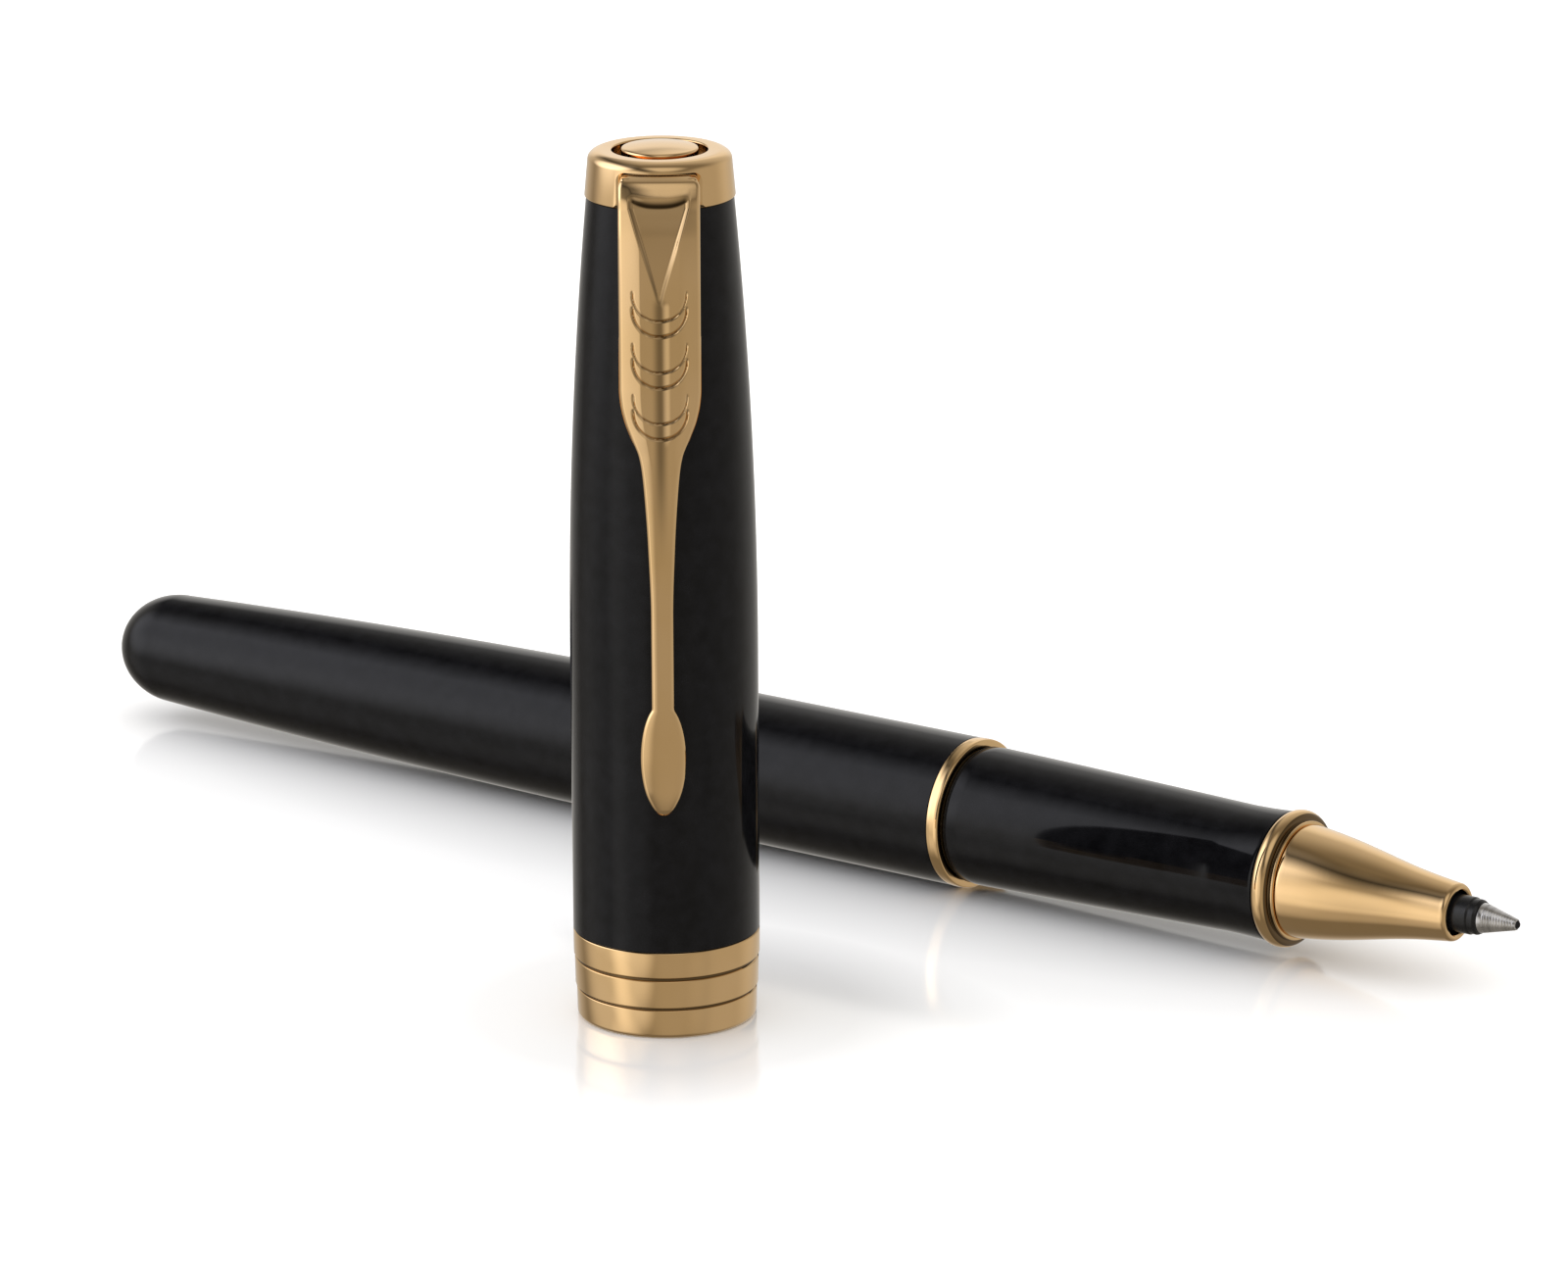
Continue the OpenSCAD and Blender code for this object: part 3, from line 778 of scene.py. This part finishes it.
def between(table, x):
    """A smooth curve through a short table of (x, y), by monotone cubic steps."""
    n = len(table)
    if x <= table[0][0]:
        return table[0][1]
    if x >= table[-1][0]:
        return table[-1][1]
    k = next(i for i in range(n - 1) if table[i][0] <= x <= table[i + 1][0])
    slopes = [(table[i + 1][1] - table[i][1]) / (table[i + 1][0] - table[i][0]) for i in range(n - 1)]

    def tangent(i):
        if i == 0:
            return slopes[0]
        if i == n - 1:
            return slopes[-1]
        a, b = slopes[i - 1], slopes[i]
        return 0.0 if a * b <= 0 else 2 * a * b / (a + b)

    x0, y0 = table[k]
    x1, y1 = table[k + 1]
    h = x1 - x0
    t = (x - x0) / h
    return ((1 + 2 * t) * (1 - t) ** 2 * y0 + t * (1 - t) ** 2 * h * tangent(k)
            + t * t * (3 - 2 * t) * y1 + t * t * (t - 1) * h * tangent(k + 1))


# the clip's half width, and the distance of its face and back from the cap's axis, by height
HALF_WIDTH = [(24.0, 0.77), (30.0, 0.77), (35.0, 0.93), (38.2, 1.12), (40.2, 1.30), (41.2, 1.48),
              (42.5, 1.99), (43.7, 2.42), (44.8, 2.66), (45.8, 2.74), (60.1, 2.74)]
FRONT = [(16.2, 6.85), (16.6, 7.05), (18.0, 7.28), (20.5, 7.38), (23.0, 7.38), (27.0, 7.32), (34.0, 7.3),
         (42.0, 7.28), (48.0, 7.18), (53.0, 6.98), (56.0, 6.70), (57.4, 6.42), (58.4, 6.16), (59.1, 5.88),
         (59.6, 5.58), (59.93, 5.0)]
BACK = [(16.2, 6.8), (16.8, 6.6), (17.4, 6.54), (19.2, 6.54), (21.0, 6.75), (27.0, 6.75), (34.0, 6.71),
        (42.0, 6.62), (48.0, 6.36), (53.0, 6.02), (56.0, 5.68), (57.2, 5.34), (57.74, 5.16), (59.93, 4.6)]


def clip_half_width(z):
    """Half the clip's width at a height: wide head, slim shaft, oval foot and rounded top corners."""
    width = between(HALF_WIDTH, z)
    u = (z - FOOT_Z) / FOOT_REACH
    if abs(u) < 1.0:
        foot = FOOT_HALF * math.sqrt(1 - u * u)
        width = foot if z < FOOT_Z else max(width, foot)
    elif z < FOOT_Z:
        width = 0.0
    up = (z - (CLIP_TOP - TOP_CORNER)) / TOP_CORNER
    if up > 0.0:
        width -= TOP_CORNER * (1 - math.sqrt(max(0.0, 1 - up * up)))
    return width


def groove(distance, width, depth):
    """A rounded groove of that half width, at that distance from its middle line."""
    return depth * (1 - smooth(abs(distance) / width)) if abs(distance) < width else 0.0


def panel_relief(ax, z):
    """A flat panel that deepens from its point up to the bar, and the bar's rolled overhanging front, with
    painted shade on the panel, its walls and round the bar's lower edge.
    """
    if z <= FACET_POINT - 0.4:
        return 0.0, 0.0, 0.0
    t = (z - FACET_POINT) / (FACET_TOP - FACET_POINT)
    depth = 0.05 + 0.33 * min(1.0, max(0.0, t))
    above = z - FACET_TOP - 0.55 * (ax / 2.05) ** 2.6
    slot = smooth((BAR_HALF - ax) / 0.5)
    if above < 0.0:
        edge = math.hypot(PANEL_HALF * max(0.0, t), 0.16) if t < 1 else PANEL_HALF + 0.01
        flat = smooth((edge - ax) / 0.36 + 0.35) * smooth((z - FACET_POINT + 0.4) / 0.8)
        # painted shade: strongest on the panel's sloping walls, light over the panel, dark just under the
        # bar
        outline = 2.4 * flat * (1 - flat)
        painted_shade_under_bar = 0.9 * slot * smooth(1 + above / 0.14)
        return depth * flat, flat, max(outline, PANEL_SHADE * flat, painted_shade_under_bar)
    cut = depth * slot * (1 - min(1.0, above / BAR_ROLL)) ** 2.2
    flat = slot * (1 - smooth(above / BAR_ROLL))
    # painted shade on the bar's lower edge, fading upwards
    return cut, flat, 0.93 * slot * (1 - smooth((above - 0.1) / 0.6))


def channel_relief(ax, z):
    """A shallow channel down the middle of the head, and painted shade along its middle."""
    top = FACET_POINT + 0.6
    if not CHANNEL_SHADE_END < z < top:
        return 0.0, 0.0
    start = smooth((top - z) / 0.8)
    cut = CHANNEL_DEPTH * start * smooth((z - CHANNEL_END) / 2.4) * (1 - smooth(ax / 0.85))
    # the second value is painted shade, which runs on down the shaft
    return cut, 0.6 * start * smooth((z - CHANNEL_SHADE_END) / 9.0) * (1 - smooth(ax / 0.6))


def scallop_relief(ax, z):
    """Curved grooves that fade out at their upper ends, with painted shade down their middles."""
    cut, shade = 0.0, 0.0
    for i in range(SCALLOPS):
        for up, width, depth in SCALLOP_PAIR:
            centre = SCALLOP_TOP - SCALLOP_STEP * i + up
            distance = math.hypot(ax, min(0.0, z - centre)) - SCALLOP_RADIUS
            ends = 1 - smooth((z - centre) / SCALLOP_FADE)
            cut += groove(distance, width, depth * ends)
            # painted shade along the middle of each groove
            shade = max(shade, groove(distance, 0.6 * width, 0.6 * ends))
    return cut, shade


def clip_relief(ax, z):
    """The decorated face: how far it is cut, how flat it is (1) or bulged (0), and its painted shade."""
    panel, flat, panel_shade = panel_relief(ax, z)
    channel, channel_shade = channel_relief(ax, z)
    scallops, scallop_shade = scallop_relief(ax, z)
    return panel + channel + scallops, flat, min(1.0, max(panel_shade, channel_shade, scallop_shade))


def clip_stations():
    """Heights of the clip's cross-sections, closest at its rounded ends and then on its head."""
    stations = [FOOT_Z - FOOT_REACH + 0.002]
    while stations[-1] < CLIP_TOP:
        z = stations[-1]
        if z < 17.0 or z > 59.2:
            step = 0.035
        elif z < 41.0:
            step = 0.12
        else:
            step = 0.05
        stations.append(z + step)
    stations[-1] = CLIP_TOP
    return stations


def clip_section(z):
    """One cross-section as (x, y, shade): its face from left to right, then its back."""
    half = max(0.04, clip_half_width(z))
    front, back = between(FRONT, z), between(BACK, z)
    edge = min(EDGE_ROUND, 0.45 * half, 0.42 * (front - back))
    rounded = max(smooth((z - 57.8) / 0.9), smooth((43.0 - z) / 3.0))
    crowding = 0.62 * math.pi / 2  # above 0, it puts more of the columns near the clip's edges
    section = []
    for k in range(CLIP_COLUMNS + 1):
        u = -1 + 2 * k / CLIP_COLUMNS
        x = half * math.sin(u * crowding) / math.sin(crowding)
        across = abs(x) / half
        inset = max(0.0, abs(x) - (half - edge))
        drop = edge - math.sqrt(max(0.0, edge * edge - inset * inset))
        # rails along both edges of the head, and one rounded face elsewhere
        bulge = 0.19 * half * max(0.0, (across - 0.46) / 0.54) ** 1.25
        bulge += rounded * (0.15 * half * across ** 2.4 - bulge)
        cut, flat, shade = clip_relief(abs(x), z)
        section.append((x, drop + bulge * (1 - flat) + cut - front, shade))
    bevel = 0.1
    section += [(half, -back - bevel, 0.0), (half - bevel, -back, 0.0), (0.0, -back, 0.0),
                (bevel - half, -back, 0.0), (-half, -back - bevel, 0.0)]
    return section


def make_clip():
    """The clip, skinned from cross-sections stacked from its foot to its top."""
    bm = bmesh.new()
    shades = bm.verts.layers.float.new("shade")
    loops = []
    for z in clip_stations():
        loop = []
        for x, y, shade in clip_section(z):
            vertex = bm.verts.new((x, y, z))
            # the painted shade, which the clip's gold material reads
            vertex[shades] = shade
            loop.append(vertex)
        loops.append(loop)
    for low, high in zip(loops, loops[1:]):
        for k in range(len(low)):
            m = (k + 1) % len(low)
            bm.faces.new((low[k], low[m], high[m], high[k]))
    bm.faces.new(list(reversed(loops[0])))
    bm.faces.new(loops[-1])
    finish_mesh("clip_body", bm, CAP, "clip", "cap_clip", GOLD_CLIP, sharp=50.0)


def make_clip_root():
    """The tab that joins the clip's top to its seat inside the crown."""
    low, high = CROWN_BASE + 0.12, CLIP_TOP - 0.06
    width, depth, centre = 5.2, 1.4, -4.45
    size = Matrix.Diagonal((width, depth, high - low, 1.0))
    bm = bmesh.new()
    bmesh.ops.create_cube(bm, size=1.0, matrix=Matrix.Translation((0, centre, (low + high) / 2)) @ size)
    bmesh.ops.bevel(bm, geom=list(bm.edges), offset=0.3, segments=4, affect="EDGES", profile=0.5)
    finish_mesh("clip_root", bm, CAP, "clip", None, GOLD_CLIP)


# ---------------------------------------------------------------- inner pieces kept from the CAD

INNER_MATERIALS = {
    "barrel_bush": BRASS, "spring_cup": PLASTIC, "refill_spring": STEEL,
    "refill_tube": STEEL, "refill_core": PLASTIC, "refill_plug": PLASTIC,
    "cap_clutch": STEEL, "crown_nut": BRASS, "clip_screw": STEEL,
}


def dress_inner_nodes():
    """Gives the CAD solids that stay their own materials."""
    for name, material in INNER_MATERIALS.items():
        mesh = frame["nodes"][name].data
        mesh.materials.clear()
        mesh.materials.append(material)


# ---------------------------------------------------------------- floor, lights and camera

# Lengths here are in metres and angles in degrees.
FLOOR_HALF = 4.0
FLOOR_MATT = (0.95, 0.955, 0.965)
# the darker floor colour near the pieces: a painted shadow
FLOOR_PAINTED_SHADOW = (0.80, 0.805, 0.815)
FLOOR_GLOSS = 0.5


def near(m, point, narrow, inner, outer):
    """1 near a point and 0 far from it, with its patch drawn out along X where narrow is under 1."""
    gap = vector_maths(m, "SUBTRACT", object_coordinates(m), point)
    flat = vector_maths(m, "MULTIPLY", gap, (narrow, 1.0, 0.0))
    return fade(m, vector_maths(m, "LENGTH", flat), outer, inner)


def floor_material():
    """Pale and matt, with a soft polish round the cap and half as much along the pen, where the colour is
    darker too: a painted shadow.
    """
    m, shader = new_material("pale_floor", (0.93, 0.935, 0.945), roughness=0.11, ior=2.7)
    by_cap = near(m, (CAP.translation.x, CAP.translation.y, 0.0), 1.0, 0.004, 0.029)
    by_pen = near(m, (0.0, PEN.translation.y, 0.0), 0.28, 0.008, 0.028)
    polish_and_shadow = maths(m, "MAXIMUM", by_cap, maths(m, "MULTIPLY", by_pen, 0.5))
    # near the pieces the colour darkens, a painted shadow, while the gloss set below rises for real
    link(m, two_colours(m, polish_and_shadow, FLOOR_MATT, FLOOR_PAINTED_SHADOW), shader.inputs["Base Color"])
    link(m, maths(m, "MULTIPLY", polish_and_shadow, FLOOR_GLOSS), shader.inputs["Specular IOR Level"])
    return m


def make_floor():
    """The wide floor, which the pieces' gloss leaves out: it shows the surround instead."""
    bm = bmesh.new()
    bmesh.ops.create_grid(bm, x_segments=4, y_segments=4, size=FLOOR_HALF)
    floor = new_object("floor", bm)
    floor.data.materials.append(floor_material())
    floor.visible_glossy = False


def direction(azimuth, elevation):
    """The way towards something at that azimuth (0 is -Y, 90 is +X) and elevation."""
    a, e = math.radians(azimuth), math.radians(elevation)
    return Vector((math.sin(a) * math.cos(e), -math.cos(a) * math.cos(e), math.sin(e)))


# Soft patches of the surround: azimuth, elevation, inner and outer half-angle, radiance, colour.
SURROUND = [
    (-56, 28, 6, 44, 1.50, (1.0, 1.02, 1.12)),
    (-26, 14, 6, 38, 0.20, (1.0, 0.98, 0.95)),
    (-48, -12, 6, 42, 0.42, (1.0, 0.98, 0.95)),
    (-8, -6, 2, 33, 0.58, (1.0, 0.98, 0.95)),
    (-22, -38, 4, 24, 0.25, (1.0, 0.95, 0.88)),
    (208, 10, 10, 80, 0.42, (1.0, 0.99, 0.97)),
    (120, -14, 10, 60, 0.26, (1.0, 0.95, 0.86)),
    (44, -14, 8, 44, 0.20, (1.0, 0.92, 0.76)),
    (40, 50, 4, 38, 0.48, (1.0, 0.98, 0.95)),
    (214, 16, 6, 32, 0.32, (1.0, 0.99, 0.98)),
]
DIM = (0.205, 0.185, 0.155)

# A dark gap between the panels overhead: across it, how dark, how wide, and where it ends by height.
GAP_NORMAL = (0.716, 0.488, 0.499)
GAP_DARK = 0.12
GAP_WIDTH = 0.28
GAP_LOW, GAP_HIGH = 0.3, 0.6


def make_surround():
    """The studio that the gloss shows: soft patches over a dim ground, under the gap."""
    world = bpy.data.worlds.new("studio")
    world.use_nodes = True
    way = add(world, "ShaderNodeTexCoord").outputs["Generated"]
    total = DIM
    for azimuth, elevation, inner, outer, radiance, colour in SURROUND:
        along = vector_maths(world, "DOT_PRODUCT", way, direction(azimuth, elevation))
        edges = (math.cos(math.radians(outer)), math.cos(math.radians(inner)))
        patch = vector_maths(world, "SCALE", colour, scale=fade(world, along, *edges, radiance))
        total = vector_maths(world, "ADD", patch, total)
    away = maths(world, "ABSOLUTE", vector_maths(world, "DOT_PRODUCT", way, GAP_NORMAL))
    gap = spread(world, away, GAP_DARK, 1.0, 0.0, GAP_WIDTH)
    height = add(world, "ShaderNodeSeparateXYZ")
    link(world, way, height.inputs[0])
    strip = maths(world, "MAXIMUM", gap, fade(world, height.outputs["Z"], GAP_HIGH, GAP_LOW))
    background = world.node_tree.nodes["Background"]
    link(world, vector_maths(world, "SCALE", total, scale=strip), background.inputs["Color"])
    bpy.context.scene.world = world


FILL_DISTANCE = 1.2
FILL_AZIMUTH = -30.0
FILL_ELEVATION = 84.0
FILL_SIZE = 4.0
FILL_RADIANCE = 1.20


def make_overhead_fill():
    """A wide square light above the pieces, which their gloss leaves out."""
    data = bpy.data.lights.new("overhead_fill", "AREA")
    data.shape = "SQUARE"
    data.size = FILL_SIZE
    data.energy = FILL_RADIANCE * FILL_SIZE * FILL_SIZE * math.pi
    light = bpy.data.objects.new("overhead_fill", data)
    back = direction(FILL_AZIMUTH, FILL_ELEVATION)
    light.location = back * FILL_DISTANCE
    light.rotation_euler = back.to_track_quat("Z", "Y").to_euler()
    light.visible_glossy = False
    bpy.context.scene.collection.objects.link(light)


VIEW_AZIMUTH = 35.73
VIEW_ELEVATION = 16.12
VIEW_ROLL = -0.259
VIEW_DISTANCE = 0.5409
VIEW_RIGHT = 0.008046
VIEW_UP = 0.02541
LENS = 180.0  # millimetres, as is the sensor's width
SENSOR = 36.0


def make_camera():
    """A long lens aimed a little right of and above the foot of the cap."""
    a, roll = math.radians(VIEW_AZIMUTH), math.radians(VIEW_ROLL)
    back = direction(VIEW_AZIMUTH, VIEW_ELEVATION)
    level = Vector((math.cos(a), math.sin(a), 0.0))
    rise = back.cross(level)
    right = level * math.cos(roll) + rise * math.sin(roll)
    up = back.cross(right)
    target = CAP.translation + right * VIEW_RIGHT + up * VIEW_UP
    data = bpy.data.cameras.new("camera")
    data.sensor_width = SENSOR
    data.lens = LENS
    data.clip_start, data.clip_end = 0.05, 20.0
    camera = bpy.data.objects.new("camera", data)
    matrix = Matrix((right, up, back)).transposed().to_4x4()
    matrix.translation = target + back * VIEW_DISTANCE
    camera.matrix_world = matrix
    bpy.context.scene.collection.objects.link(camera)
    bpy.context.scene.camera = camera


# ---------------------------------------------------------------- the scene

make_barrel()
make_trim_ring()
make_grip()
make_spigot()
make_flange()
make_nose()
make_refill_collar()
make_point()
make_ball()
make_cap_tube()
make_cap_band()
make_cap_liner()
make_crown()
make_button()
make_clip()
make_clip_root()
dress_inner_nodes()
make_floor()
make_surround()
make_overhead_fill()
make_camera()

bpy.context.scene.view_settings.view_transform = "Standard"
bpy.context.scene.view_settings.look = "None"
